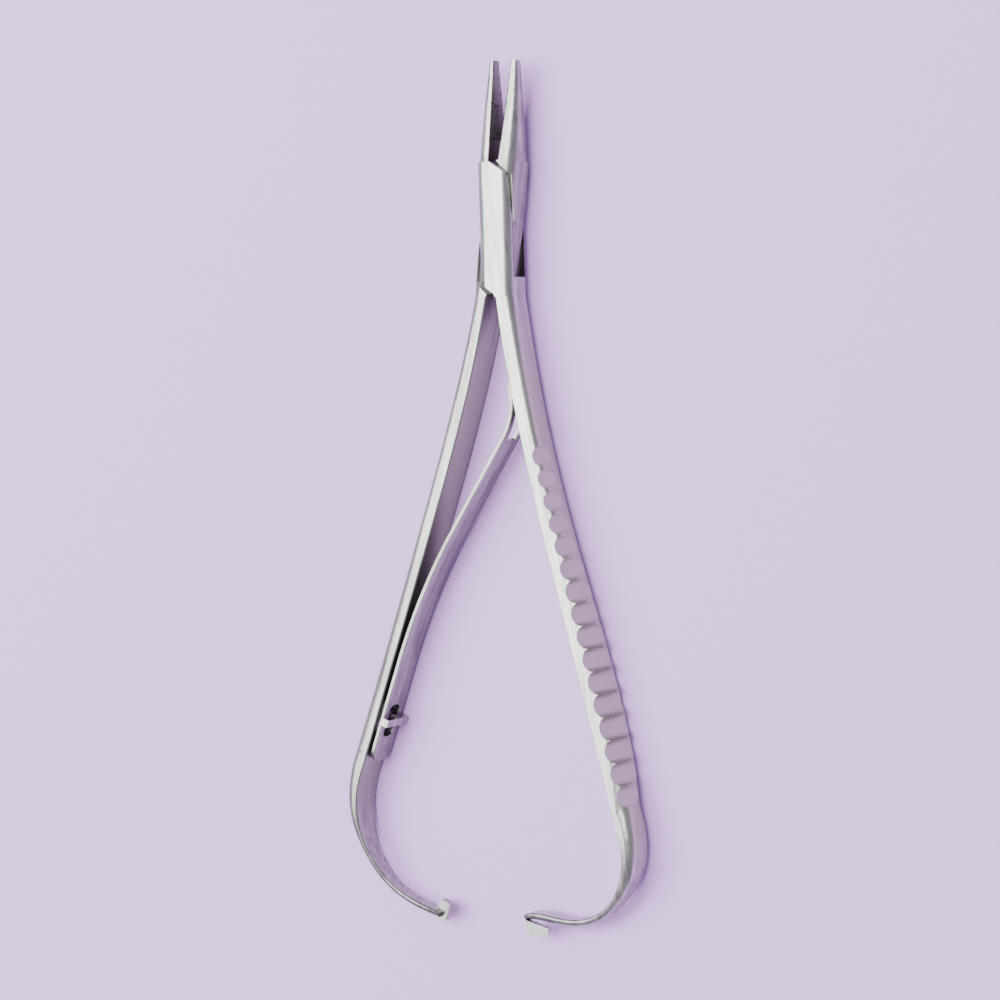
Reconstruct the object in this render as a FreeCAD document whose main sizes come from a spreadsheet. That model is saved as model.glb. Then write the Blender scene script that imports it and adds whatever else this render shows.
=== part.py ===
# Palm-grip needle holder forceps: two forged halves crossing in a box lock, bowed handles with
# grip flutes, a leaf spring between the handles and a catch at the handle ends.
# Both halves are drawn with the jaws closed, the pivot at the origin and the parting plane at
# x = 0, then turned apart by half the opening angle. +Y points to the jaw tips, +Z is up, and
# the part lies flat on z = 0.
import FreeCAD, Part
import math
import os
import re

import Sketcher

V = FreeCAD.Vector

doc = FreeCAD.newDocument("needle_holder")
sheet = doc.addObject("Spreadsheet::Sheet", "size")

# Driving sizes in millimetres and degrees
DRIVING = {
    "open_angle": 7.0,
    # Box lock
    "lock_width": 6.3,
    "lock_thickness": 6.0,
    "lock_corner": 2.1,
    "lock_peak": 10.3,
    "shoulder_end": 8.5,
    "shoulder_inset": 0.55,
    "flank_end": 0.4,
    "window_side": 7.7,
    "tongue_thickness": 2.9,
    "slide_clearance": 0.05,
    "shoulder_clearance": 0.1,
    "pin_radius": 1.3,
    "pin_clearance": 0.04,
    # Jaws
    "jaw_length": 26.2,
    "jaw_relief": 0.25,
    "jaw_root_width": 5.8,
    "jaw_root_corner": 2.6,
    "jaw_mid": 18.5,
    "jaw_mid_depth": 2.1,
    "jaw_mid_width": 3.3,
    "jaw_mid_corner": 1.5,
    "jaw_tip_depth": 1.05,
    "jaw_tip_width": 1.5,
    "jaw_tip_corner": 0.6,
    "jaw_tip_relief": 0.02,
    "jaw_edge": 0.1,
    "hatch_start": 13.4,
    "hatch_depth": 0.13,
    # Handle line, on the inner face
    "handle_root": 10.6,
    "handle_root_inset": 0.2,
    "handle_root_angle": 6.7,
    "bow_end": 41.0,
    "line_angle": 14.5,
    "catch_reach": 109.2,
    "catch_radius": 11.0,
    "catch_inset": 0.9,
    "hook_reach": 111.0,
    "hook_radius": 15.1,
    "hook_heading": 78.0,
    "hook_inset": 2.4,
    # Handle sections
    "root_depth": 2.95,
    "bow_depth": 2.85,
    "catch_grip_depth": 4.1,
    "hook_grip_depth": 2.9,
    "knee_run": 4.5,
    "knee_top_depth": 2.95,
    "knee_depth": 2.6,
    "tail_depth": 1.15,
    "tail_tip_depth": 0.85,
    "root_width": 5.8,
    "handle_width": 5.5,
    "tail_tip_width": 2.5,
    "inner_edge": 0.18,
    "bow_corner": 1.4,
    "grip_corner": 2.0,
    "knee_corner": 1.5,
    "tail_corner": 0.7,
    # Grip flutes
    "flute_pitch": 3.64,
    "flute_radius": 2.0,
    "flute_floor": 1.75,
    "flute_slant": 22.0,
    "first_flute": 36.6,
    "flute_setback": 3.9,
    # Leaf spring
    "spring_thickness": 0.7,
    "spring_width": 4.6,
    "spring_gap": 0.45,
    "spring_root_setback": 3.1,
    "spring_end_corner": 2.0,
    "spring_straight": 30.5,
    "spring_root_radius": 110.0,
    "spring_tip": 24.6,
    "spring_tip_straight": 5.0,
    "spring_tip_radius": 10.0,
    "spring_tip_gap": 0.05,
    "fork_width": 2.5,
    "fork_length": 9.6,
    "fork_bridge": 1.8,
    "keyhole_length": 5.8,
    "keyhole_width": 2.4,
    "keyhole_end_radius": 1.4,
    # Spring stud
    "stud_setback": 7.4,
    "stud_neck_radius": 0.85,
    "stud_collar_radius": 1.15,
    "stud_seat_depth": 1.8,
    "stud_head_height": 1.2,
    "stud_head_width": 1.3,
    "stud_head_length": 5.6,
    # Catch
    "foot_length": 5.9,
    "foot_toe": 0.8,
    "foot_heel": 1.9,
    "rack_setback": 0.1,
    "rack_length": 4.5,
    "rack_height": 2.4,
    "rack_corner": 1.1,
    "rack_lead": 0.6,
    "tooth_count": 3,
    "tooth_pitch": 1.05,
    "tooth_depth": 0.35,
    "lug_length": 2.2,
    "lug_rise": 1.9,
    "lug_drop": 0.5,
    "lug_lap": 1.1,
    "lug_corner": 0.45,
    "lug_depth": 1.1,
    "lug_bite": 0.25,
}

# Places worked out from the driving sizes
WORKED = {
    "half_width": "lock_width / 2",
    "half_thickness": "lock_thickness / 2",
    "half_open": "open_angle / 2",
    "shoulder_x": "half_width - shoulder_inset",
    "slot_thickness": "tongue_thickness + 2 * slide_clearance",
    "tongue_x": "half_width - shoulder_clearance",
    "lock_end": "handle_root + handle_root_inset",
    "window_slope": "(lock_peak - window_side) / half_width",
    "jaw_root_depth": "half_width - jaw_relief",
    "jaw_mid_relief": "jaw_relief * (jaw_length - jaw_mid) / (jaw_length - lock_peak)",
    "hatch_relief": "jaw_tip_relief + (jaw_relief - jaw_tip_relief)"
                    " * (jaw_length - hatch_start) / (jaw_length - lock_peak)",
    "bow_mid": "(handle_root + bow_end) / 2",
    "bow_mid_angle": "(handle_root_angle + line_angle) / 2",
    "bow_mid_x": "handle_root_inset + (bow_mid - handle_root)"
                 " * tan((handle_root_angle + bow_mid_angle) / 2 * 1deg)",
    "bow_x": "handle_root_inset + (bow_end - handle_root) * tan(bow_mid_angle * 1deg)",
    "line_slope": "tan(line_angle * 1deg)",
    "catch_knee": "catch_reach - catch_radius * (1 + sin(line_angle * 1deg))",
    "catch_knee_x": "bow_x + (catch_knee - bow_end) * line_slope",
    "catch_centre_x": "catch_knee_x - catch_radius * cos(line_angle * 1deg)",
    "catch_centre_y": "catch_radius - catch_reach",
    "hook_knee": "hook_reach - hook_radius * (1 + sin(line_angle * 1deg))",
    "hook_knee_x": "bow_x + (hook_knee - bow_end) * line_slope",
    "hook_centre_x": "hook_knee_x - hook_radius * cos(line_angle * 1deg)",
    "flute_count": "floor((catch_knee - flute_setback - first_flute) / flute_pitch) + 1",
    "hook_centre_y": "hook_radius - hook_reach",
    "spring_root": "hook_knee - spring_root_setback",
    "stud_place": "spring_root - stud_setback",
    "flute_line": "flute_floor + handle_width / 2 * tan(flute_slant * 1deg) + flute_radius",
    # Spring, in the open rest position: headings are from +Y to +X
    "keyhole_end_rise": "keyhole_end_radius"
                        " - sqrt(keyhole_end_radius ^ 2 - keyhole_width ^ 2 / 4)",
    "keyhole_low": "spring_root - stud_place - keyhole_length / 2 + keyhole_end_rise",
    "keyhole_high": "keyhole_low + keyhole_length - 2 * keyhole_end_rise",
    "root_heading": "line_angle + half_open",
    "tip_share": "(spring_tip - handle_root) / (bow_end - handle_root)",
    "tip_line_angle": "handle_root_angle + tip_share * (line_angle - handle_root_angle)",
    "tip_line_x": "handle_root_inset + (spring_tip - handle_root)"
                  " * tan((handle_root_angle + tip_line_angle) / 2 * 1deg)",
    "tip_heading": "-1 * (tip_line_angle + half_open)",
    "root_line_x": "bow_x + (spring_root - bow_end) * line_slope",
    "root_off": "spring_gap + spring_thickness / 2",
    "root_x": "-root_line_x * cos(half_open * 1deg) - spring_root * sin(half_open * 1deg)"
              " + root_off * cos(root_heading * 1deg)",
    "root_y": "root_line_x * sin(half_open * 1deg) - spring_root * cos(half_open * 1deg)"
              " - root_off * sin(root_heading * 1deg)",
    "low_bend_x": "root_x + spring_straight * sin(root_heading * 1deg)",
    "low_bend_y": "root_y + spring_straight * cos(root_heading * 1deg)",
    "tip_off": "spring_tip_gap + spring_thickness / 2",
    "tip_x": "tip_line_x * cos(half_open * 1deg) + spring_tip * sin(half_open * 1deg)"
             " - tip_off * cos(tip_heading * 1deg)",
    "tip_y": "tip_line_x * sin(half_open * 1deg) - spring_tip * cos(half_open * 1deg)"
             " + tip_off * sin(tip_heading * 1deg)",
    "high_bend_x": "tip_x - spring_tip_straight * sin(tip_heading * 1deg)",
    "high_bend_y": "tip_y - spring_tip_straight * cos(tip_heading * 1deg)",
    "blade_heading": "atan2(high_bend_x - low_bend_x; high_bend_y - low_bend_y) / 1deg",
    # Spring stud, in the open rest position
    "stud_line_x": "bow_x + (stud_place - bow_end) * line_slope",
    "stud_x": "-stud_line_x * cos(half_open * 1deg) - stud_place * sin(half_open * 1deg)",
    "stud_y": "stud_line_x * sin(half_open * 1deg) - stud_place * cos(half_open * 1deg)",
    # Catch, in the closed frame
    "rack_x": "catch_inset + rack_setback",
    "foot_slope": "(foot_heel - foot_toe) / (foot_length - catch_inset)",
    "half_tip_width": "tail_tip_width / 2",
    "rack_low": "-(catch_reach + foot_toe + rack_height)",
}

# Sections along a tail's arc, and how many of them thin it from the knee to the tail's own depth
TAIL_STEPS = 6
THINNING_STEPS = 3


def fill_sheet():
    rows = [(alias, str(number)) for alias, number in DRIVING.items()]
    rows += [(alias, "=" + formula) for alias, formula in WORKED.items()]
    for row, (alias, content) in enumerate(rows, start=1):
        sheet.set(f"A{row}", alias)
        sheet.set(f"B{row}", content)
        sheet.setAlias(f"B{row}", alias)
    doc.recompute()


fill_sheet()


def value(formula):
    return float(sheet.evalExpression(formula))


def link(formula):
    """The formula as objects outside the sheet read it, with the sheet's name at each alias."""
    words = re.compile(r"[a-z_]+[0-9]*")
    known = set(DRIVING) | set(WORKED)
    return words.sub(lambda word: f"size.{word[0]}" if word[0] in known else word[0], formula)


def bind(item, name, formula):
    item.setExpression(name, link(formula))


def new_body(label):
    body = doc.addObject("PartDesign::Body", label)
    body.Label = label
    return body


def new_sketch(body, name, role):
    sketch = body.newObject("Sketcher::SketchObject", name)
    plane = next(item for item in body.Origin.OriginFeatures if item.Role == role)
    sketch.AttachmentSupport = [(plane, "")]
    sketch.MapMode = "FlatFace"
    return sketch


def turn_about_z(sketch, x, y, heading):
    """Move an XZ sketch to a place on the handle line, square to a heading from -Y to +X."""
    sketch.AttachmentOffset = FreeCAD.Placement(
        V(value(x), 0, -value(y)), FreeCAD.Rotation(V(0, 1, 0), value(heading))
    )
    bind(sketch, "AttachmentOffset.Base.x", x)
    bind(sketch, "AttachmentOffset.Base.z", f"-1 * ({y})")
    bind(sketch, "AttachmentOffset.Rotation.Angle", heading)


def constrain(sketch, kind, *rest):
    return sketch.addConstraint(Sketcher.Constraint(kind, *rest))


def pin_point(sketch, index, end, place):
    """Tie one point of a sketch to the origin by a pair of formulas."""
    for kind, formula in zip(("DistanceX", "DistanceY"), place):
        row = constrain(sketch, kind, -1, 1, index, end, value(formula))
        bind(sketch, f"Constraints[{row}]", formula)


def bulged_arc(first, last, radius, middle, hollow):
    """An arc between two places that bulges away from a middle place, or towards it. Also
    gives which of its ends lies at the first place, because a sketch keeps arcs anticlockwise."""
    half = (first + last) * 0.5
    right = (last - first).cross(V(0, 0, 1)).normalize()
    anticlockwise = (right.dot(half - middle) > 0) != hollow
    towards = -right if anticlockwise else right
    centre = half + towards * math.sqrt(max(radius**2 - (first - half).Length ** 2, 0))
    start, end = first - centre, last - centre
    low, high = (start, end) if anticlockwise else (end, start)
    circle = Part.Circle(centre, V(0, 0, 1), radius)
    arc = Part.ArcOfCircle(circle, math.atan2(low.y, low.x), math.atan2(high.y, high.x))
    return arc, (1, 2) if anticlockwise else (2, 1)


def outline(sketch, corners, radii=None, hollow=False):
    """Draw a closed outline. corners are pairs of formulas. radii gives, for the side that
    starts at a corner, the formula of its arc's radius. An arc bulges outwards, or inwards
    where the outline is hollow."""
    radii = radii or {}
    places = [V(value(x), value(y), 0) for x, y in corners]
    middle = sum(places, V()) * (1 / len(places))
    ends = []
    for start, first in enumerate(places):
        last = places[(start + 1) % len(places)]
        if start not in radii:
            index = sketch.addGeometry(Part.LineSegment(first, last))
            ends.append((index, 1, 2))
            continue
        arc, ends_in_order = bulged_arc(first, last, value(radii[start]), middle, hollow)
        index = sketch.addGeometry(arc)
        ends.append((index, *ends_in_order))
    for start, (index, first_end, last_end) in enumerate(ends):
        following, next_end, _ = ends[(start + 1) % len(ends)]
        constrain(sketch, "Coincident", index, last_end, following, next_end)
    for start, (index, first_end, _) in enumerate(ends):
        pin_point(sketch, index, first_end, corners[start])
        if start in radii:
            row = constrain(sketch, "Radius", index, value(radii[start]))
            bind(sketch, f"Constraints[{row}]", radii[start])


def flat_outline(body, name, corners, radii=None, role="XY_Plane"):
    sketch = new_sketch(body, name, role)
    outline(sketch, corners, radii)
    return sketch


def pad(body, name, sketch, length):
    """Thicken a sketch equally to both sides."""
    feature = body.newObject("PartDesign::Pad", name)
    feature.Profile = sketch
    feature.Midplane = True
    bind(feature, "Length", length)
    return feature


def pocket(body, name, sketch, length, direction=None):
    """Cut a sketch equally to both sides, and check that it takes material away."""
    doc.recompute()
    before = body.Tip.Shape.Volume
    feature = body.newObject("PartDesign::Pocket", name)
    feature.Profile = sketch
    feature.Midplane = True
    bind(feature, "Length", length)
    if direction:
        feature.UseCustomVector = True
        feature.Direction = direction
    doc.recompute()
    if feature.Shape.Volume > before - 1e-3:
        raise RuntimeError(f"{name} cuts nothing")
    return feature


def round_outline(sketch, radius, centre=None):
    """Draw a circle at the sketch's origin, or at a pair of formulas."""
    x, y = centre or ("0", "0")
    circle = Part.Circle(V(value(x), value(y), 0), V(0, 0, 1), value(radius))
    index = sketch.addGeometry(circle)
    if centre:
        pin_point(sketch, index, 3, centre)
    else:
        constrain(sketch, "Coincident", index, 3, -1, 1)
    row = constrain(sketch, "Radius", index, value(radius))
    bind(sketch, f"Constraints[{row}]", radius)


def turned(corners, side):
    """Outline corners as drawn for side 1, or turned half a revolution about the pivot."""
    return [(f"{side} * ({x})", f"{side} * ({y})") for x, y in corners]


def d_section(body, name, side, place, depth, width, corner, edge="inner_edge"):
    """A D-shaped section square to the piece's run: flat towards the parting plane, with
    its sharp edges broken there and rounded edges on the outside."""
    sketch = new_sketch(body, name, "XZ_Plane")
    x, y, heading = place
    turn_about_z(sketch, f"{side} * ({x})", y, f"{side} * ({heading})")
    half, flat, rim = f"({width}) / 2", f"{side} * (({depth}) - ({corner}))", f"{side} * ({depth})"
    broken = f"{side} * {edge}"
    corners = [
        (broken, f"-{half}"),
        ("0", f"{edge} - {half}"),
        ("0", f"{half} - {edge}"),
        (broken, half),
        (flat, half),
        (rim, f"{half} - ({corner})"),
        (rim, f"({corner}) - {half}"),
        (flat, f"-{half}"),
    ]
    outline(sketch, corners, {4: corner, 6: corner})
    return sketch


def loft(body, name, sections):
    feature = body.newObject("PartDesign::AdditiveLoft", name)
    feature.Profile = sections[0]
    feature.Sections = sections[1:]
    return feature


# Regions of the lock at full thickness. The slotted half has the plate region, and the other
# half has a shoulder region on each side of it, turned half a revolution apart.
def plate_corners():
    upper = [
        ("0", "lock_peak"),
        ("shoulder_x", "shoulder_end"),
        ("half_width", "flank_end"),
        ("half_width", "-lock_end"),
        ("handle_root_inset", "-lock_end"),
    ]
    lower = [
        ("0", "-lock_peak"),
        ("-shoulder_x", "-shoulder_end"),
        ("-half_width", "-flank_end"),
        ("-half_width", "lock_peak"),
    ]
    return upper + lower


def shoulder_corners(end):
    gap = "shoulder_clearance"
    return [
        (gap, f"lock_peak + {gap}"),
        (f"shoulder_x + {gap}", f"shoulder_end + {gap}"),
        ("half_width", "flank_end + 3 * shoulder_clearance"),
        ("half_width", end),
        (gap, end),
    ]


def trim_corners(body):
    """Round the four long edges of the lock by cutting the square corners away."""
    for name, side, face in (
        ("right_top", 1, 1), ("right_bottom", 1, -1), ("left_top", -1, 1), ("left_bottom", -1, -1)
    ):
        rim, top = f"{side} * half_width", f"{face} * half_thickness"
        past_rim, past_top = f"{side} * (half_width + 1)", f"{face} * (half_thickness + 1)"
        corners = [
            (f"{side} * (half_width - lock_corner)", top),
            (rim, f"{face} * (half_thickness - lock_corner)"),
            (past_rim, f"{face} * (half_thickness - lock_corner)"),
            (past_rim, past_top),
            (f"{side} * (half_width - lock_corner)", past_top),
        ]
        sketch = new_sketch(body, f"trim_{name}", "XZ_Plane")
        outline(sketch, corners, {0: "lock_corner"}, hollow=True)
        pocket(body, f"corner_{name}", sketch, "4 * jaw_length")


# Stations of the handle's inner line on the +X side: x, y and heading, as formulas
def line_station(depth):
    return f"bow_x + (({depth}) - bow_end) * line_slope", f"-({depth})", "line_angle"


def tail_station(kind, heading):
    return (
        f"{kind}_centre_x + {kind}_radius * cos(({heading}) * 1deg)",
        f"{kind}_centre_y + {kind}_radius * sin(({heading}) * 1deg)",
        heading,
    )


def tail_end_station(kind, heading):
    """Where the straight run after the tail arc reaches its inset from the parting plane."""
    x, y, _ = tail_station(kind, heading)
    return f"{kind}_inset", f"{y} - ({x} - {kind}_inset) / tan(-({heading}) * 1deg)", heading


def handle(body, side, kind, last_heading):
    """The bowed handle: a loft down to its knee, and one round the tail to its tip."""
    knee_top = (
        line_station(f"{kind}_knee - knee_run"), "knee_top_depth", "handle_width", "grip_corner"
    )
    upper = [
        (("handle_root_inset", "-handle_root", "handle_root_angle"),
         "root_depth", "root_width", "lock_corner"),
        (("bow_mid_x", "-bow_mid", "bow_mid_angle"), "bow_depth", "handle_width", "bow_corner"),
        (line_station("bow_end"), "bow_depth", "handle_width", "bow_corner"),
        (line_station(f"(bow_end + {kind}_knee) / 2"),
         f"{kind}_grip_depth", "handle_width", "grip_corner"),
        knee_top,
    ]
    lower = [knee_top]
    for step in range(TAIL_STEPS + 1):
        turned_share = f"{step} / {TAIL_STEPS}"
        heading = f"line_angle - (line_angle + {last_heading}) * {turned_share}"
        thinned = min(step / THINNING_STEPS, 1)
        depth = f"knee_depth + (tail_depth - knee_depth) * {thinned:.4f}"
        corner = f"knee_corner + (tail_corner - knee_corner) * {thinned:.4f}"
        narrowed = f"(1 + cos(180deg * {turned_share})) / 2"
        width = f"tail_tip_width + (handle_width - tail_tip_width) * {narrowed}"
        lower.append((tail_station(kind, heading), depth, width, corner))
    end = tail_end_station(kind, f"-1 * {last_heading}")
    lower.append((end, "tail_tip_depth", "tail_tip_width", "tail_corner"))
    for part, stations in (("grip", upper), ("tail", lower)):
        sections = [
            d_section(body, f"{kind}_{part}_section_{number}", side, *station)
            for number, station in enumerate(stations)
        ]
        loft(body, f"{kind}_{part}", sections)
        doc.recompute()


def jaw(body, side):
    """One jaw, from the lock to its squared tip, with the grip face relieved at the root and
    set back where the cross-hatch is cut."""
    stations = [
        (("jaw_relief", "lock_peak - shoulder_clearance", "0"),
         "jaw_root_depth", "jaw_root_width", "jaw_root_corner"),
        (("jaw_mid_relief", "jaw_mid", "0"), "jaw_mid_depth", "jaw_mid_width", "jaw_mid_corner"),
        (("jaw_tip_relief", "jaw_length", "0"), "jaw_tip_depth", "jaw_tip_width", "jaw_tip_corner"),
    ]
    sections = [
        d_section(body, f"jaw_section_{number}", side, *station, "jaw_edge")
        for number, station in enumerate(stations)
    ]
    loft(body, "jaw", sections)
    hatch = [
        ("-1", "hatch_start"),
        ("hatch_relief + hatch_depth", "hatch_start"),
        ("jaw_tip_relief + hatch_depth", "jaw_length + 1"),
        ("-1", "jaw_length + 1"),
    ]
    hatch = [(f"{side} * ({x})", y) for x, y in hatch]
    pocket(body, "hatch", flat_outline(body, "hatch_outline", hatch), "2 * jaw_root_width")


def flutes(body, side):
    """The row of grip flutes along the straight part of a handle. They are ground at a slant
    over the upper outside edge for side 1, and over the lower one for side -1."""
    doc.recompute()
    before = body.Tip.Shape.Volume
    x, y, _ = line_station("first_flute")
    centre = (
        f"{side} * ({x} + flute_line * cos(line_angle * 1deg))",
        f"{y} + flute_line * sin(line_angle * 1deg)",
    )
    sketch = new_sketch(body, "flute_sketch", "XY_Plane")
    heading = FreeCAD.Rotation(V(0, 0, 1), side * value("line_angle"))
    slant = FreeCAD.Rotation(V(0, 1, 0), -value("flute_slant"))
    sketch.AttachmentOffset = FreeCAD.Placement(
        V(value(centre[0]), value(centre[1]), 0), heading * slant
    )
    bind(sketch, "AttachmentOffset.Base.x", centre[0])
    bind(sketch, "AttachmentOffset.Base.y", centre[1])
    round_outline(sketch, "flute_radius")
    flute = pocket(body, "flute", sketch, "3 * lock_thickness")
    pattern = body.newObject("PartDesign::LinearPattern", "flutes")
    pattern.Originals = [flute]
    pattern.Direction = (sketch, ["V_Axis"])
    pattern.Reversed = True
    bind(pattern, "Length", "(flute_count - 1) * flute_pitch")
    bind(pattern, "Occurrences", "flute_count")
    body.Tip = pattern
    doc.recompute()
    if pattern.Shape.Volume > before - value("flute_count") * 0.2:
        raise RuntimeError("the flutes cut too little")
    return pattern


def pin_hole(body, radius):
    sketch = new_sketch(body, "pin_circle", "XY_Plane")
    round_outline(sketch, radius)
    return pocket(body, "pin_hole", sketch, "2 * lock_thickness")


def lock_window(body):
    """The window between the plates that the tongue passes through."""
    reach = "lock_width"
    rise = f"lock_peak + shoulder_clearance - window_slope * {reach}"
    corners = [
        ("0", "lock_peak + shoulder_clearance"),
        (reach, "lock_peak + shoulder_clearance"),
        (reach, f"-({rise})"),
        ("0", "-(lock_peak + shoulder_clearance)"),
        (f"-{reach}", "-(lock_peak + shoulder_clearance)"),
        (f"-{reach}", rise),
    ]
    sketch = flat_outline(body, "window_outline", corners)
    return pocket(body, "window", sketch, "slot_thickness")


def place_body(body, turn, x="0", y="0"):
    """Turn a body about Z and move it to its open rest place, lying on z = 0."""
    body.Placement = FreeCAD.Placement(V(0, 0, 0), FreeCAD.Rotation(V(0, 0, 1), 1))
    bind(body, "Placement.Rotation.Angle", turn)
    bind(body, "Placement.Base.x", x)
    bind(body, "Placement.Base.y", y)
    bind(body, "Placement.Base.z", "half_thickness")


def hook_lug(body):
    """The lug across the end of the left tail, which bites on the teeth of the rack."""
    x, y, heading = tail_end_station("hook", "-1 * hook_heading")
    angle = f"({heading}) * 1deg"
    near, far = "-lug_lap", "lug_length - lug_lap"
    top, bottom = "-lug_rise", "tail_tip_depth + lug_drop"
    corners = []
    for along_tail, across in (
        (f"{near} + lug_corner", top),
        (f"{far} - lug_corner", top),
        (far, f"{top} + lug_corner"),
        (far, f"{bottom} - lug_corner"),
        (f"{far} - lug_corner", bottom),
        (f"{near} + lug_corner", bottom),
        (near, f"{bottom} - lug_corner"),
        (near, f"{top} + lug_corner"),
    ):
        corners.append((
            f"-1 * ({x} + ({along_tail}) * sin({angle}) + ({across}) * cos({angle}))",
            f"{y} - ({along_tail}) * cos({angle}) + ({across}) * sin({angle})",
        ))
    rounded = {corner: "lug_corner" for corner in (1, 3, 5, 7)}
    sketch = flat_outline(body, "lug_outline", corners, rounded)
    bind(sketch, "AttachmentOffset.Base.z", "(lug_bite - lug_depth) / 2")
    pad(body, "lug", sketch, "lug_depth + lug_bite")


def stud_seat(body):
    """The blind hole for the spring stud, square to the inner face of the left handle."""
    doc.recompute()
    before = body.Tip.Shape.Volume
    sketch = new_sketch(body, "stud_circle", "YZ_Plane")
    sketch.AttachmentOffset = FreeCAD.Placement(
        V(-value("stud_place"), 0, -value("stud_line_x")),
        FreeCAD.Rotation(V(0, 1, 0), -value("line_angle")),
    )
    bind(sketch, "AttachmentOffset.Base.x", "-stud_place")
    bind(sketch, "AttachmentOffset.Base.z", "-stud_line_x")
    bind(sketch, "AttachmentOffset.Rotation.Angle", "-line_angle")
    round_outline(sketch, "stud_neck_radius")
    seat = body.newObject("PartDesign::Pocket", "stud_seat")
    seat.Profile = sketch
    bind(seat, "Length", "stud_seat_depth")
    doc.recompute()
    if seat.Shape.Volume > before - 1:
        raise RuntimeError("the stud's hole cuts too little")


def build_slotted_half():
    """The half with the lock plates, the left jaw and the right handle."""
    body = new_body("slotted_half")
    pad(body, "plates", flat_outline(body, "plate_outline", plate_corners()), "lock_thickness")
    trim_corners(body)
    lock_window(body)
    jaw(body, -1)
    handle(body, 1, "catch", "90")
    foot = [
        ("catch_inset", "-catch_reach"),
        ("foot_length", "-catch_reach"),
        ("foot_length", "-(catch_reach + foot_heel)"),
        ("catch_inset", "-(catch_reach + foot_toe)"),
    ]
    pad(body, "foot", flat_outline(body, "foot_outline", foot), "tail_tip_width")
    flutes(body, 1)
    pin_hole(body, "pin_radius")
    place_body(body, "half_open")
    return body


def build_tongue_half():
    """The half with the tongue, the right jaw and the left handle."""
    body = new_body("tongue_half")
    tongue = [
        ("shoulder_clearance", "lock_peak"),
        ("tongue_x", "lock_peak"),
        ("tongue_x", "-window_side"),
        ("-shoulder_clearance", "-lock_peak"),
        ("-tongue_x", "-lock_peak"),
        ("-tongue_x", "window_side"),
    ]
    pad(body, "tongue", flat_outline(body, "tongue_outline", tongue), "tongue_thickness")
    upper = shoulder_corners("lock_peak + 3 * shoulder_clearance")
    lower = turned(shoulder_corners("lock_end"), -1)
    pad(body, "upper_shoulder", flat_outline(body, "upper_outline", upper), "lock_thickness")
    pad(body, "lower_shoulder", flat_outline(body, "lower_outline", lower), "lock_thickness")
    trim_corners(body)
    jaw(body, 1)
    handle(body, -1, "hook", "hook_heading")
    hook_lug(body)
    flutes(body, -1)
    stud_seat(body)
    pin_hole(body, "pin_radius + pin_clearance")
    place_body(body, "-half_open")
    return body


def build_pivot_pin():
    """The pin, pressed into the plates and ground flush with them."""
    body = new_body("pivot_pin")
    sketch = new_sketch(body, "pin_circle", "XY_Plane")
    round_outline(sketch, "pin_radius")
    pad(body, "pin", sketch, "lock_thickness")
    place_body(body, "half_open")
    return body




def spring_path(body):
    """The middle line of the leaf: along the left handle, across, and back along the right."""
    sketch = new_sketch(body, "leaf_path", "XY_Plane")
    names = ("root", "low_bend", "high_bend", "tip")
    root, low, high, tip = [V(value(name + "_x"), value(name + "_y"), 0) for name in names]
    pieces = [root]
    arcs = []
    for before, corner, after, radius in (
        (root, low, high, "spring_root_radius"), (low, high, tip, "spring_tip_radius")
    ):
        arrive, leave = (corner - before).normalize(), (after - corner).normalize()
        turn = arrive.getAngle(leave)
        run = value(radius) * math.tan(turn / 2)
        first, last = corner - arrive * run, corner + leave * run
        toward = (leave - arrive).normalize()
        centre = corner + toward * (value(radius) / math.cos(turn / 2))
        arcs.append(bulged_arc(first, last, value(radius), centre, False))
        pieces += [first, last]
    pieces.append(tip)
    lines = [
        sketch.addGeometry(Part.LineSegment(pieces[start], pieces[start + 1]))
        for start in (0, 2, 4)
    ]
    for number, (arc, ends) in enumerate(arcs):
        index = sketch.addGeometry(arc)
        constrain(sketch, "Tangent", lines[number], 2, index, ends[0])
        constrain(sketch, "Tangent", index, ends[1], lines[number + 1], 1)
        radius = ("spring_root_radius", "spring_tip_radius")[number]
        row = constrain(sketch, "Radius", index, value(radius))
        bind(sketch, f"Constraints[{row}]", radius)
    for name, place, near in (("low_bend", low, (0, 1)), ("high_bend", high, (1, 2))):
        mark = sketch.addGeometry(Part.Point(place), True)
        pin_point(sketch, mark, 1, (name + "_x", name + "_y"))
        for line in near:
            constrain(sketch, "PointOnObject", mark, 1, lines[line])
    pin_point(sketch, lines[0], 1, ("root_x", "root_y"))
    pin_point(sketch, lines[2], 2, ("tip_x", "tip_y"))
    return sketch


def along(name, heading, run, across):
    """A place at a run past a named point of the spring, and a step across its line."""
    angle = f"{heading} * 1deg"
    x = f"{name}_x + ({run}) * sin({angle}) + ({across}) * cos({angle})"
    y = f"{name}_y + ({run}) * cos({angle}) - ({across}) * sin({angle})"
    return x, y


def leaf_face(body, name):
    """A sketch on the face of the leaf at its root: x runs up the leaf, y is up."""
    sketch = new_sketch(body, name, "YZ_Plane")
    sketch.AttachmentOffset = FreeCAD.Placement(
        V(value("root_y"), 0, value("root_x")),
        FreeCAD.Rotation(V(0, 1, 0), -value("root_heading")),
    )
    bind(sketch, "AttachmentOffset.Base.x", "root_y")
    bind(sketch, "AttachmentOffset.Base.z", "root_x")
    bind(sketch, "AttachmentOffset.Rotation.Angle", "-root_heading")
    return sketch


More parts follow.
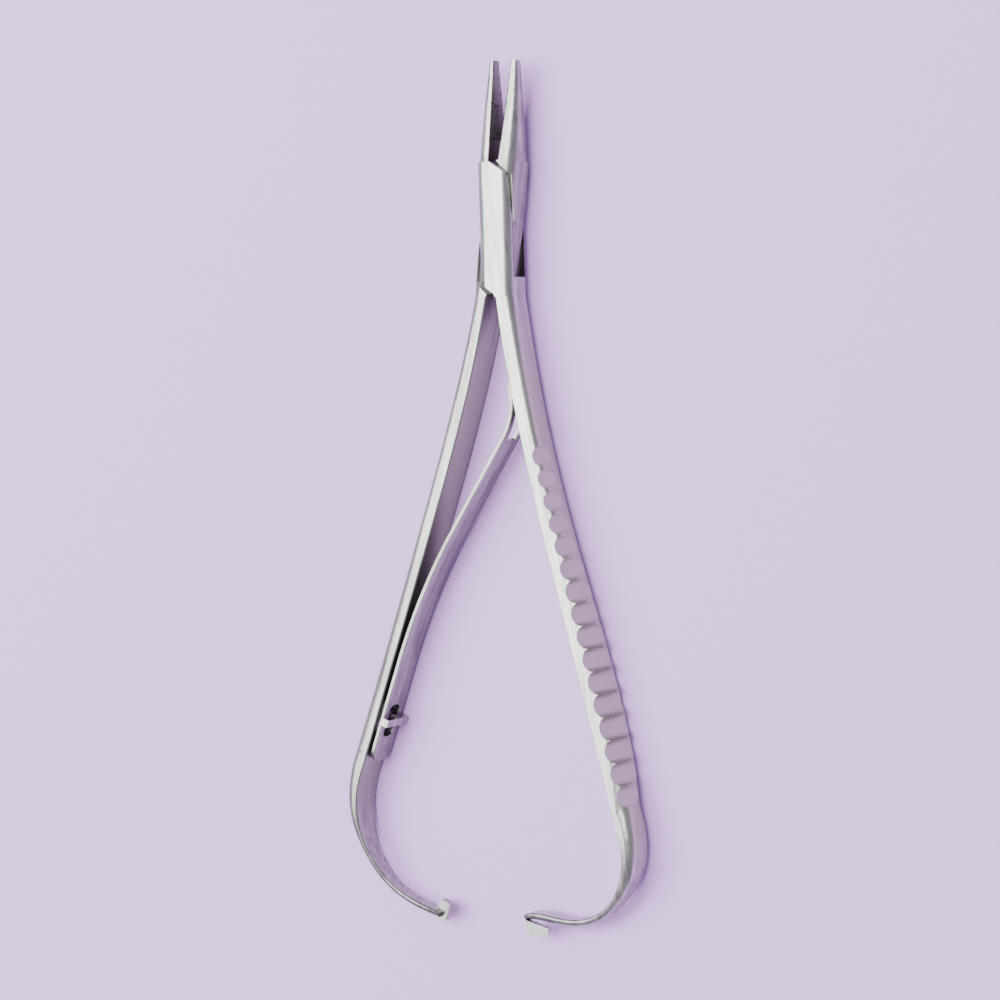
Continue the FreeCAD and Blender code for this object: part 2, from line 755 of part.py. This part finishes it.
def build_leaf_spring():
    """The leaf spring: keyhole near its root for the stud, long slot near its tip."""
    body = new_body("leaf_spring")
    path = spring_path(body)
    section = new_sketch(body, "leaf_section", "XZ_Plane")
    turn_about_z(section, "root_x", "root_y", "-1 * root_heading")
    half, reach = "spring_thickness / 2", "spring_width / 2"
    corners = [(f"-{half}", f"-{reach}"), (half, f"-{reach}"), (half, reach), (f"-{half}", reach)]
    outline(section, corners)
    doc.recompute()
    leaf = body.newObject("PartDesign::AdditivePipe", "leaf")
    leaf.Profile = section
    leaf.Spine = path
    keyhole = leaf_face(body, "keyhole_outline")
    off = "keyhole_width / 2"
    corners = [
        ("keyhole_low", f"-{off}"),
        ("keyhole_high", f"-{off}"),
        ("keyhole_high", off),
        ("keyhole_low", off),
    ]
    outline(keyhole, corners, {1: "keyhole_end_radius", 3: "keyhole_end_radius"})
    pocket(body, "keyhole", keyhole, "4 * spring_thickness")
    for name, face in (("upper", 1), ("lower", -1)):
        corner = leaf_face(body, f"{name}_corner_outline")
        kept, past = f"{face} * ({reach} - spring_end_corner)", f"{face} * ({reach} + 1)"
        outline(corner, [
            ("spring_end_corner", f"{face} * {reach}"),
            ("0", kept),
            ("-1", kept),
            ("-1", past),
            ("spring_end_corner", past),
        ], {0: "spring_end_corner"}, hollow=True)
        pocket(body, f"{name}_corner", corner, "4 * spring_thickness")
    side = "2 * spring_thickness"
    slot = [
        along("high_bend", "blade_heading", "-(fork_length - spring_tip_straight)", f"-{side}"),
        along("high_bend", "blade_heading", "0", f"-2 * {side}"),
        along("tip", "tip_heading", "-fork_bridge", f"-{side}"),
        along("tip", "tip_heading", "-fork_bridge", side),
        along("high_bend", "blade_heading", "0", f"2 * {side}"),
        along("high_bend", "blade_heading", "-(fork_length - spring_tip_straight)", side),
    ]
    pocket(body, "slot", flat_outline(body, "slot_outline", slot), "fork_width")
    place_body(body, "0")
    return body


def build_spring_stud():
    """The stud that holds the spring: pressed into the left handle, with a collar under the
    leaf and a cross head over it."""
    stud = new_body("spring_stud")
    collar, leaf = "spring_gap", "spring_gap + spring_thickness"
    for name, radius, low, high in (
        ("neck", "stud_neck_radius", "-stud_seat_depth", leaf),
        ("collar", "stud_collar_radius", "0", collar),
    ):
        sketch = new_sketch(stud, name + "_circle", "YZ_Plane")
        sketch.AttachmentOffset = FreeCAD.Placement(V(0, 0, value(low)), FreeCAD.Rotation())
        bind(sketch, "AttachmentOffset.Base.z", low)
        round_outline(sketch, radius)
        shank = stud.newObject("PartDesign::Pad", name)
        shank.Profile = sketch
        bind(shank, "Length", f"({high}) - ({low})")
    half, reach = "stud_head_width / 2", "stud_head_length / 2"
    corners = [(f"-{half}", f"-{reach}"), (half, f"-{reach}"), (half, reach), (f"-{half}", reach)]
    sketch = new_sketch(stud, "head_outline", "YZ_Plane")
    sketch.AttachmentOffset = FreeCAD.Placement(V(0, 0, value(leaf)), FreeCAD.Rotation())
    bind(sketch, "AttachmentOffset.Base.z", leaf)
    outline(sketch, corners)
    head = stud.newObject("PartDesign::Pad", "head")
    head.Profile = sketch
    bind(head, "Length", "stud_head_height")
    place_body(stud, "-root_heading", "stud_x", "stud_y")
    return stud


def build_catch_rack():
    """The small rack under the foot of the right handle, with its teeth on the rear face."""
    rack = new_body("catch_rack")
    end, low = "rack_x + rack_length", "rack_low"
    corners = [
        ("rack_x", "-(catch_reach + foot_toe + foot_slope * rack_setback)"),
        ("rack_x", f"{low} + rack_lead"),
        ("rack_x + 2 * rack_lead", low),
        (f"{end} - rack_corner", low),
        (end, f"{low} + rack_corner"),
        (end, "-(catch_reach + foot_toe + foot_slope * (rack_setback + rack_length))"),
    ]
    sketch = flat_outline(rack, "rack_outline", corners, {3: "rack_corner"})
    bind(sketch, "AttachmentOffset.Base.z", "half_tip_width / 2")
    pad(rack, "block", sketch, "half_tip_width")
    tooth = new_sketch(rack, "tooth_outline", "XZ_Plane")
    first = "rack_x + rack_length - rack_corner - tooth_count * tooth_pitch"
    outline(tooth, [
        (first, "0"),
        (f"{first} + tooth_pitch", "0"),
        (f"{first} + tooth_pitch", "tooth_depth"),
    ])
    cut = pocket(rack, "tooth", tooth, "4 * catch_reach")
    teeth = rack.newObject("PartDesign::LinearPattern", "teeth")
    teeth.Originals = [cut]
    teeth.Direction = (tooth, ["H_Axis"])
    bind(teeth, "Length", "(tooth_count - 1) * tooth_pitch")
    bind(teeth, "Occurrences", "tooth_count")
    rack.Tip = teeth
    place_body(rack, "half_open")
    return rack
def check_and_export(bodies):
    doc.recompute()
    for item in doc.Objects:
        if "Invalid" in item.State or "Error" in item.State:
            raise RuntimeError(f"{item.Label} failed: {item.getStatusString()}")
    os.makedirs("parts", exist_ok=True)
    for body in bodies:
        shape = body.Shape
        if shape.isNull() or not shape.isValid() or len(shape.Solids) != 1:
            raise RuntimeError(f"{body.Label} is not one sound solid")
        print(f"{body.Label}: {shape.Volume:.1f} mm3, {shape.BoundBox}")
        shape.exportStep(f"parts/{body.Label}.step")


check_and_export([
    build_slotted_half(),
    build_tongue_half(),
    build_pivot_pin(),
    build_leaf_spring(),
    build_spring_stud(),
    build_catch_rack(),
])
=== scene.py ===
"""Looks for a palm-grip needle holder: satin steel, hatched jaw faces and a leaf spring cut where
it can bend.
"""

import math

import bpy
from mathutils import Matrix, Vector


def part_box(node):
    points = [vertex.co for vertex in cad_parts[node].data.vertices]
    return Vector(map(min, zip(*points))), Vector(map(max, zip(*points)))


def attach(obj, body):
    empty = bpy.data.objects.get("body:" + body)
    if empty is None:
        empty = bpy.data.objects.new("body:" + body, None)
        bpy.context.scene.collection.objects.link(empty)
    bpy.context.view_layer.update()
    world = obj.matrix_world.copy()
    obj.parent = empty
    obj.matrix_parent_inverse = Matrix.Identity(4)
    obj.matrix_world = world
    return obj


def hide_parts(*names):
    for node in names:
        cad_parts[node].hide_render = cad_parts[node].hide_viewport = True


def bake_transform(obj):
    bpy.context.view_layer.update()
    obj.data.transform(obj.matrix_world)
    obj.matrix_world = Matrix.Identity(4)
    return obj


bl_info = {
    "name": "Palm-grip needle holder",
    "version": (1, 0, 0),
    "blender": (4, 5, 0),
    "location": "3D View > Sidebar > Needle holder",
    "description": "Dresses the needle holder's frame with steel finishes and fine pieces",
    "category": "Object",
}

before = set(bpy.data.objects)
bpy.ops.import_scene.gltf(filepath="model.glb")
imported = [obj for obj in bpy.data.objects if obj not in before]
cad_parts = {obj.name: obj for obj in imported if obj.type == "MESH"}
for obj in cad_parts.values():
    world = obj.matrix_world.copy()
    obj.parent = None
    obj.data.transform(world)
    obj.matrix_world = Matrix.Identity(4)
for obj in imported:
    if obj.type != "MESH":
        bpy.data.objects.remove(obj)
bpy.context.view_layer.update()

MM = 0.001

# Places on the solids, along Y unless said otherwise
LOCK_MIDDLE = 3.0 * MM  # height of the middle plane
HATCH_START = 13.6 * MM
HANDLE_HALF = 2.74 * MM  # half height of the handles' flanks
FLANK_FADE = 0.25 * MM
FLANK_TOP = -12 * MM, -24 * MM
FLANK_END = -99 * MM, -91 * MM
GRIP_SHADE_START = 10.4 * MM
GRIP_SHADE_BAND = 0.12 * MM
WINDOW_REACH = 7.6 * MM
WINDOW_HALF = 1.6 * MM  # half height of the lock's window

# The hatch and the leaf spring
HATCH_LIFT = 0.01 * MM  # keeps the teeth off the recess's floor
HATCH_SPARE = 1.6  # the uncut sheet's size over the face's length
GRIP_FACING = 0.98  # how squarely a grip face looks along X
LEAF_STEP = 1.5 * MM
MERGE_REACH = 0.001 * MM

# Noises: lumps per metre, detail and roughness
GRAIN = 900, 3, 0.6
GRAIN_STRETCH = 1, 16, 1
CLOUD = 110, 3, 0.5
SPECK = 5200, 2, 0.5
WEAR = 1500, 2, 0.6
WEAVE = 900, 5, 0.6
SHEET_CLOUD = 6, 2, 0.5

# Steel: shades of its colours, and where its streaks and points' painted highlight start and end
DULL = 0.5
BRIGHT = 1.22
# Painted shade for the teeth's grooves and inside the lock's window, painted highlight for the
# points
GROOVE_SHADE = 0.4
POINT_HIGHLIGHT = 1.5
STREAK = 0.36, 0.66
POINT_RISE = 0.3, 0.6

# Node, its body and the way its grip face looks along X
HALVES = (
    ("slotted_half", "slotted_side", 1),
    ("tongue_half", "tongue_side", -1),
)
# The left half's shade of 0.8 is painted shade
# Material, the grain's turn in degrees, shade, and whether the lock's window is in the half
HALF_STEEL = {
    "slotted_half": ("right_steel", 10, 1, True),
    "tongue_half": ("left_steel", -10, 0.8, False),
}
# Node, material, the grain's fineness and shade
SMALL_PARTS = (
    ("pivot_pin", "pin_steel", 1.5, 0.98),
    ("spring_stud", "stud_steel", 2, 0.95),
    ("catch_rack", "rack_steel", 2, 0.97),
)
# The leaf's shade of 0.72 is painted shade
LEAF_STEEL = "leaf_steel", -27, 1.3, 0.72

# Name, place, size and power
LIGHTS = (
    ("window_light", (-0.64, 0.06, 0.84), 0.95, 14.5),
    ("fill_light", (0.1, 0.3, 1.2), 0.9, 15.5),
)
LIGHT_AIM = 0, -0.04, 0
ROOM_COLOUR = 0.82, 0.74, 0.97, 1
ROOM_STRENGTH = 0.66
SHEET_SIZE = 6
CAMERA_PLACE = 0.23353, -0.00368, 0.34039
CAMERA_TURN = -4.7473, 34.7173, 1.2921
CAMERA_LENS = 93.2
CAMERA_SENSOR = 36

# Sockets of a Mix node set to colours
MIX_FIRST = 6
MIX_RESULT = 2


# Shader helpers

class Channel:
    """A socket of a material's nodes, on which sums are written as on a number."""

    def __init__(self, finish, socket):
        self.finish = finish
        self.socket = socket

    def _math(self, operation, *values):
        return self.finish.node("ShaderNodeMath", {"operation": operation}, *values)

    def __add__(self, other):
        return self._math("ADD", self, other)

    def __sub__(self, other):
        return self._math("SUBTRACT", self, other)

    def __rsub__(self, other):
        return self._math("SUBTRACT", other, self)

    def __mul__(self, other):
        return self._math("MULTIPLY", self, other)

    def __truediv__(self, other):
        return self._math("DIVIDE", self, other)

    def __rtruediv__(self, other):
        return self._math("DIVIDE", other, self)

    __radd__ = __add__
    __rmul__ = __mul__


class Finish:
    """A material under way: its tree, its Principled shader and the way to add nodes."""

    def __init__(self, name):
        self.material = bpy.data.materials.new(name)
        self.material.use_nodes = True
        self.tree = self.material.node_tree
        self.shader = self.tree.nodes["Principled BSDF"]
        self.place = self.node("ShaderNodeTexCoord", output="Object")

    def node(self, kind, settings=None, *values, output=0, **sockets):
        """Add a node; its settings come first, then the values or links of its sockets. None
        leaves a socket as it is."""
        node = self.tree.nodes.new(kind)
        for name, setting in (settings or {}).items():
            setattr(node, name, setting)
        for socket, value in enumerate(values):
            self._feed(node.inputs[socket], value)
        self._feed_named(node, sockets)
        return Channel(self, node.outputs[output])

    def _feed(self, socket, value):
        if isinstance(value, Channel):
            self.tree.links.new(value.socket, socket)
        elif value is not None:
            socket.default_value = value

    def _feed_named(self, node, sockets):
        for name, value in sockets.items():
            self._feed(node.inputs[name.replace("_", " ").title()], value)

    def set(self, **sockets):
        """Feed sockets of the Principled shader."""
        self._feed_named(self.shader, sockets)

    def axis(self, name):
        return self.node("ShaderNodeSeparateXYZ", None, self.place, output=name)

    def ramp(self, value, start, end):
        """0 at the start, 1 at the end and beyond it."""
        return self.node("ShaderNodeMapRange", None, value, start, end)

    def near(self, value, middle, reach):
        """1 where the value lies within reach of the middle, and 0 elsewhere."""
        return self.node("ShaderNodeMath", {"operation": "COMPARE"}, value, middle, reach)

    def noise(self, scale, detail, roughness, stretch=(1, 1, 1), turn=0.0):
        """Noise on the object's own coordinates, stretched and turned, in lumps per metre."""
        place = self.node("ShaderNodeMapping", {"vector_type": "TEXTURE"},
                          vector=self.place, rotation=(0, 0, turn), scale=stretch)
        return self.node("ShaderNodeTexNoise", None, vector=place, scale=scale, detail=detail,
                         roughness=roughness, output="Fac")

    def mix(self, factor, first, second):
        """Blend two colours, each a channel or three numbers."""
        ends = [end if isinstance(end, Channel) else (*end, 1) for end in (first, second)]
        skipped = [None] * (MIX_FIRST - 1)
        return self.node("ShaderNodeMix", {"data_type": "RGBA"}, factor, *skipped, *ends,
                         output=MIX_RESULT)

    def bump(self, height, strength, distance):
        return self.node("ShaderNodeBump", strength=strength, distance=distance, height=height)


def shaded(colour, shade):
    return tuple(channel * shade for channel in colour)


def satin_steel(name, settings, turn, fineness, shade, shaded_grip_face=None, window=False):
    """Satin stainless steel: a faint lengthwise grain, soft clouding and tiny specks. A half's
    grip face, given by a place on it and its normal, is matt ground and darkened with painted
    shade; its flanks are duller and darkened with painted shade, and painted shade darkens the
    inside of the lock's window still more. The grain's turn is in degrees."""
    finish = Finish(name)
    lumps, *look = GRAIN
    grain = finish.noise(lumps * fineness, *look, GRAIN_STRETCH, math.radians(turn))
    cloud = finish.noise(*CLOUD)
    speck = finish.noise(*SPECK)
    # The shade scales the whole steel colour: painted shade for the left half and the leaf, own
    # tone for the small parts
    colour = shaded(settings.steel_colour, shade)
    streak = finish.ramp(grain, *STREAK)
    tone = finish.mix(cloud * 0.4 + streak * 0.6, shaded(colour, DULL), shaded(colour, BRIGHT))
    roughness = settings.steel_roughness + grain * 0.14 + cloud * 0.10 - 0.10
    if shaded_grip_face:
        # Painted shade on the grip face, which is also matt ground, and on the flanks, which are
        # also duller
        grip_shade = grip_shade_mask(finish, *shaded_grip_face)
        flank_shade = flank_shade_mask(finish)
        tone = finish.mix(grip_shade, tone, settings.ground_and_shade_colour)
        tone = finish.mix(flank_shade * (0.75 + cloud * 0.25), tone,
                          shaded(settings.flank_shade_colour, shade))
        roughness = roughness + grip_shade * 0.08 + flank_shade * 0.06
    # Painted shade inside the lock's window
    if window:
        tone = finish.mix(window_shade_mask(finish), tone, shaded(settings.ground_and_shade_colour, GROOVE_SHADE))
    finish.set(base_color=tone, metallic=1.0, roughness=roughness,
               normal=finish.bump(grain * 0.5 + speck * 0.5, 0.10, 0.01 * MM))
    return finish.material


def hatch_steel_with_painted_light(name, settings, place, normal):
    """The cut teeth: painted shade darkens the grooves, and painted highlight with wear lights
    the points.
    """
    finish = Finish(name)
    rise = height_over(finish, place, normal) / settings.hatch_height
    # Painted light: each tooth is set by its height over the face, painted shade low in the
    # groove and painted highlight high on the point
    point = finish.ramp(rise, *POINT_RISE)
    wear = finish.noise(*WEAR)
    groove_shade = shaded(settings.ground_and_shade_colour, GROOVE_SHADE)
    point_highlight = shaded(settings.steel_colour, POINT_HIGHLIGHT)
    finish.set(base_color=finish.mix(point * (wear + 0.5), groove_shade, point_highlight), metallic=1.0,
               roughness=0.22 + wear * 0.12)
    return finish.material


def height_over(finish, place, normal):
    """How far a point of the piece lies in front of a flat face."""
    from_face = finish.node("ShaderNodeVectorMath", {"operation": "SUBTRACT"},
                            finish.place, tuple(place))
    return finish.node("ShaderNodeVectorMath", {"operation": "DOT_PRODUCT"},
                       from_face, tuple(normal), output="Value")


def flank_shade_mask(finish):
    """1 on the flanks and flutes of the straight handles, which are duller than the flat
     faces above and below and take painted shade, and 0 on those faces, the lock and the tails."""
    height = finish.node("ShaderNodeMath", {"operation": "ABSOLUTE"},
                         finish.axis("Z") - LOCK_MIDDLE)
    between = finish.ramp(height, HANDLE_HALF, HANDLE_HALF - FLANK_FADE)
    reach = finish.axis("Y")
    return between * finish.ramp(reach, *FLANK_TOP) * finish.ramp(reach, *FLANK_END)


def window_shade_mask(finish):
    """1 on the walls inside the lock's window, where painted shade goes, and 0 elsewhere."""
    return (finish.near(finish.axis("Y"), 0, WINDOW_REACH)
            * finish.near(finish.axis("Z"), LOCK_MIDDLE, WINDOW_HALF))


def grip_shade_mask(finish, place, normal):
    """1 on the jaw's inner face from the lock to the tip, where painted shade goes, and 0
    elsewhere.
    """
    near = finish.near(height_over(finish, place, normal), GRIP_SHADE_BAND / 2, GRIP_SHADE_BAND)
    ahead = finish.node("ShaderNodeMath", {"operation": "GREATER_THAN"},
                        finish.axis("Y"), GRIP_SHADE_START)
    return near * ahead


# Mesh helpers

def dress(node_name, material):
    """Put one material on a CAD node."""
    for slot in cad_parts[node_name].material_slots:
        slot.link = "OBJECT"
        slot.material = material


def select_only(piece):
    bpy.ops.object.select_all(action="DESELECT")
    piece.select_set(True)
    bpy.context.view_layer.objects.active = piece


def grip_face(node_name, facing):
    """Where a jaw's hatched face starts, which way it runs and faces, and its size."""
    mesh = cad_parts[node_name].data
    corners = []
    normal = Vector()
    for polygon in mesh.polygons:
        if polygon.center.y > HATCH_START and polygon.normal.x * facing > GRIP_FACING:
            corners += [mesh.vertices[index].co for index in polygon.vertices]
            normal += polygon.normal * polygon.area
    normal.normalize()
    heading = Vector((0, 0, 1)).cross(normal) * facing
    tip = max(corners, key=lambda corner: corner.y)
    reach = (tip.y - HATCH_START) / heading.y
    place = Vector((tip.x, tip.y, LOCK_MIDDLE)) - heading * reach + normal * HATCH_LIFT
    tip_width = 2 * max(c.z for c in corners if tip.y - c.y < MM) - 2 * LOCK_MIDDLE
    low_width = 2 * max(c.z for c in corners) - 2 * LOCK_MIDDLE
    return place, heading, normal, reach, low_width, tip_width


def copied(node_name, name):
    """A merged copy of a CAD node's mesh, as a new piece at the origin."""
    piece = bpy.data.objects.new(name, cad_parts[node_name].data.copy())
    piece.data.materials.clear()
    bpy.context.collection.objects.link(piece)
    select_only(piece)
    bpy.ops.object.mode_set(mode="EDIT")
    bpy.ops.mesh.select_all(action="SELECT")
    bpy.ops.mesh.remove_doubles(threshold=MERGE_REACH)
    bpy.ops.mesh.dissolve_limited(angle_limit=math.radians(1))
    bpy.ops.object.mode_set(mode="OBJECT")
    return piece


def bevel_edges(piece, width):
    """Round a piece's sharp edges a little, and shade the rest smooth."""
    modifier = piece.modifiers.new("edge_round", "BEVEL")
    modifier.width = width
    modifier.segments = 2
    modifier.limit_method = "ANGLE"
    modifier.angle_limit = math.radians(40)
    select_only(piece)
    bpy.ops.object.modifier_apply(modifier=modifier.name)
    bpy.ops.object.shade_smooth_by_angle(angle=math.radians(50))


class NeedleHolderSettings(bpy.types.PropertyGroup):
    steel_colour: bpy.props.FloatVectorProperty(
        name="Steel colour", description="Base colour of the satin steel",
        default=(0.50, 0.50, 0.468), subtype="COLOR", min=0, max=1)
    steel_roughness: bpy.props.FloatProperty(
        name="Steel roughness", description="How dull the satin steel is",
        default=0.25, min=0, max=1, subtype="FACTOR")
    # The flanks' colour: duller steel, made darker still as painted shade
    flank_shade_colour: bpy.props.FloatVectorProperty(
        name="Flank colour", description="Colour of the duller flanks of the handles",
        default=(0.42, 0.435, 0.35), subtype="COLOR", min=0, max=1)
    # A dark matt colour, used as painted shade on the grip faces, in the teeth's grooves and in
    # the window
    ground_and_shade_colour: bpy.props.FloatVectorProperty(
        name="Ground colour", description="Colour of the matt ground jaw faces",
        default=(0.21, 0.195, 0.18), subtype="COLOR", min=0, max=1)
    floor_colour: bpy.props.FloatVectorProperty(
        name="Floor colour", description="Colour of the sheet that the instrument lies on",
        default=(0.80, 0.485, 1.0), subtype="COLOR", min=0, max=1)
    hatch_pitch: bpy.props.FloatProperty(
        name="Hatch pitch", description="How far apart the teeth of the jaw faces are",
        default=0.4 * MM, min=0.1 * MM, unit="LENGTH")
    hatch_height: bpy.props.FloatProperty(
        name="Hatch height", description="How high the teeth of the jaw faces are",
        default=0.11 * MM, min=0.01 * MM, unit="LENGTH")
    leaf_edge: bpy.props.FloatProperty(
        name="Leaf edge", description="Width of the rounding on the leaf spring's edges",
        default=0.12 * MM, min=0, unit="LENGTH")


class NEEDLEHOLDER_OT_stage(bpy.types.Operator):
    """Lay the pale sheet, hang the soft lights and set up the camera"""
    bl_idname = "needle_holder.stage"
    bl_label = "Stage, lights and camera"

    def execute(self, context):
        self.floor(context)
        self.lights(context)
        self.camera(context)
        return {"FINISHED"}

    def floor(self, context):
        colour = tuple(context.scene.needle_holder.floor_colour)
        bpy.ops.object.select_all(action="DESELECT")
        bpy.ops.mesh.primitive_plane_add(size=SHEET_SIZE)
        floor = context.object
        floor.name = "sheet"
        finish = Finish("pale_sheet")
        weave = finish.noise(*WEAVE)
        cloud = finish.noise(*SHEET_CLOUD)
        tone = finish.mix(weave * 0.4 + cloud * 0.6, shaded(colour, 0.97), colour)
        finish.set(base_color=tone, roughness=0.85 + weave * 0.1,
                   normal=finish.bump(weave, 0.15, 0.1 * MM))
        floor.data.materials.append(finish.material)

    def lights(self, context):
        world = bpy.data.worlds.new("soft_room")
        world.use_nodes = True
        background = world.node_tree.nodes["Background"]
        background.inputs["Color"].default_value = ROOM_COLOUR
        background.inputs["Strength"].default_value = ROOM_STRENGTH
        context.scene.world = world
        for name, place, size, power in LIGHTS:
            bpy.ops.object.light_add(type="AREA", location=place)
            light = context.object
            light.name = name
            light.data.shape = "DISK"
            light.data.size = size
            light.data.energy = power
            aim = Vector(LIGHT_AIM) - Vector(place)
            light.rotation_euler = aim.to_track_quat("-Z", "Y").to_euler()

    def camera(self, context):
        bpy.ops.object.camera_add(
            location=CAMERA_PLACE, rotation=[math.radians(angle) for angle in CAMERA_TURN])
        camera = context.object
        camera.name = "photo_camera"
        camera.data.sensor_width = CAMERA_SENSOR
        camera.data.lens = CAMERA_LENS
        context.scene.camera = camera


class NEEDLEHOLDER_OT_halves(bpy.types.Operator):
    """Give the two forged halves their satin steel"""
    bl_idname = "needle_holder.halves"
    bl_label = "Forged halves"

    def execute(self, context):
        settings = context.scene.needle_holder
        for node_name, _, facing in HALVES:
            name, turn, shade, window = HALF_STEEL[node_name]
            place, _, normal, *_ = grip_face(node_name, facing)
            dress(node_name, satin_steel(name, settings, turn, 1, shade, (place, normal), window))
        return {"FINISHED"}


class NEEDLEHOLDER_OT_hatch(bpy.types.Operator):
    """Cut the fine diamond teeth into the recessed grip face of each jaw"""
    bl_idname = "needle_holder.hatch"
    bl_label = "Jaw cross-hatch"

    def execute(self, context):
        settings = context.scene.needle_holder
        for node_name, body, facing in HALVES:
            place, heading, normal, *size = grip_face(node_name, facing)
            hatch = self.teeth(context, settings, *size)
            self.lay(hatch, place, heading, normal)
            hatch.name = body.replace("side", "jaw_hatch")
            hatch.data.materials.append(
                hatch_steel_with_painted_light(hatch.name + "_steel", settings, place, normal))
            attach(hatch, body)
        return {"FINISHED"}

    def teeth(self, context, settings, length, low_width, tip_width):
        """A sheet of pyramids in rows at 45 degrees, trimmed to the jaw's tapering face."""
        across = math.ceil(length * HATCH_SPARE / settings.hatch_pitch)
        bpy.ops.object.select_all(action="DESELECT")
        bpy.ops.mesh.primitive_grid_add(
            x_subdivisions=across, y_subdivisions=across, size=across * settings.hatch_pitch,
            rotation=(0, 0, math.radians(45)), location=(length / 2, 0, 0),
        )
        bpy.ops.object.transform_apply()
        bpy.ops.object.mode_set(mode="EDIT")
        bpy.ops.mesh.select_all(action="SELECT")
        bpy.ops.mesh.poke(offset=settings.hatch_height)
        slope = (low_width - tip_width) / 2 / length
        for at, outward in (
            ((0, 0, 0), (-1, 0, 0)),
            ((length, 0, 0), (1, 0, 0)),
            ((0, low_width / 2, 0), (slope, 1, 0)),
            ((0, -low_width / 2, 0), (slope, -1, 0)),
        ):
            bpy.ops.mesh.select_all(action="SELECT")
            bpy.ops.mesh.bisect(plane_co=at, plane_no=outward, clear_outer=True)
        bpy.ops.object.mode_set(mode="OBJECT")
        return context.object

    def lay(self, sheet, place, heading, normal):
        """Turn the flat sheet onto the jaw's face."""
        turn = Matrix((heading, normal.cross(heading), normal)).transposed()
        sheet.matrix_world = Matrix.LocRotScale(place, turn.to_quaternion(), None)
        bpy.ops.object.transform_apply()


class NEEDLEHOLDER_OT_small_parts(bpy.types.Operator):
    """Finish the pin, the spring's stud and the catch's rack"""
    bl_idname = "needle_holder.small_parts"
    bl_label = "Pin, stud and rack"

    def execute(self, context):
        settings = context.scene.needle_holder
        for node_name, name, fineness, shade in SMALL_PARTS:
            dress(node_name, satin_steel(name, settings, 0, fineness, shade))
        return {"FINISHED"}


class NEEDLEHOLDER_OT_leaf_spring(bpy.types.Operator):
    """Make the leaf spring from the CAD leaf, cut into rows where it can bend"""
    bl_idname = "needle_holder.leaf_spring"
    bl_label = "Leaf spring"

    def execute(self, context):
        settings = context.scene.needle_holder
        leaf = copied("leaf_spring", "bending_leaf")
        self.cut_across()
        bevel_edges(leaf, settings.leaf_edge)
        name, *look = LEAF_STEEL
        leaf.data.materials.append(satin_steel(name, settings, *look))
        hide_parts("leaf_spring")
        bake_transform(leaf)
        return {"FINISHED"}

    def cut_across(self):
        """Give the leaf rows of points along its length, where it can bend."""
        low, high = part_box("leaf_spring")
        bpy.ops.object.mode_set(mode="EDIT")
        for row in range(1, int((high[1] - low[1]) / LEAF_STEP)):
            bpy.ops.mesh.select_all(action="SELECT")
            bpy.ops.mesh.bisect(plane_co=(0, low[1] + row * LEAF_STEP, 0), plane_no=(0, 1, 0))
        bpy.ops.object.mode_set(mode="OBJECT")


class NEEDLEHOLDER_PT_panel(bpy.types.Panel):
    """The steps that dress the needle holder"""
    bl_idname = "NEEDLEHOLDER_PT_panel"
    bl_label = "Needle holder"
    bl_space_type = "VIEW_3D"
    bl_region_type = "UI"
    bl_category = "Needle holder"

    def draw(self, context):
        for name in NeedleHolderSettings.__annotations__:
            self.layout.prop(context.scene.needle_holder, name)
        for step in STEPS:
            self.layout.operator(step.bl_idname)


STEPS = (
    NEEDLEHOLDER_OT_stage,
    NEEDLEHOLDER_OT_halves,
    NEEDLEHOLDER_OT_hatch,
    NEEDLEHOLDER_OT_small_parts,
    NEEDLEHOLDER_OT_leaf_spring,
)
CLASSES = (NeedleHolderSettings, *STEPS, NEEDLEHOLDER_PT_panel)


def register():
    for item in CLASSES:
        bpy.utils.register_class(item)
    bpy.types.Scene.needle_holder = bpy.props.PointerProperty(type=NeedleHolderSettings)


def unregister():
    del bpy.types.Scene.needle_holder
    for item in reversed(CLASSES):
        bpy.utils.unregister_class(item)


def main():
    register()
    for step in STEPS:
        group, name = step.bl_idname.split(".")
        getattr(getattr(bpy.ops, group), name)()


if __name__ == "__main__":
    main()
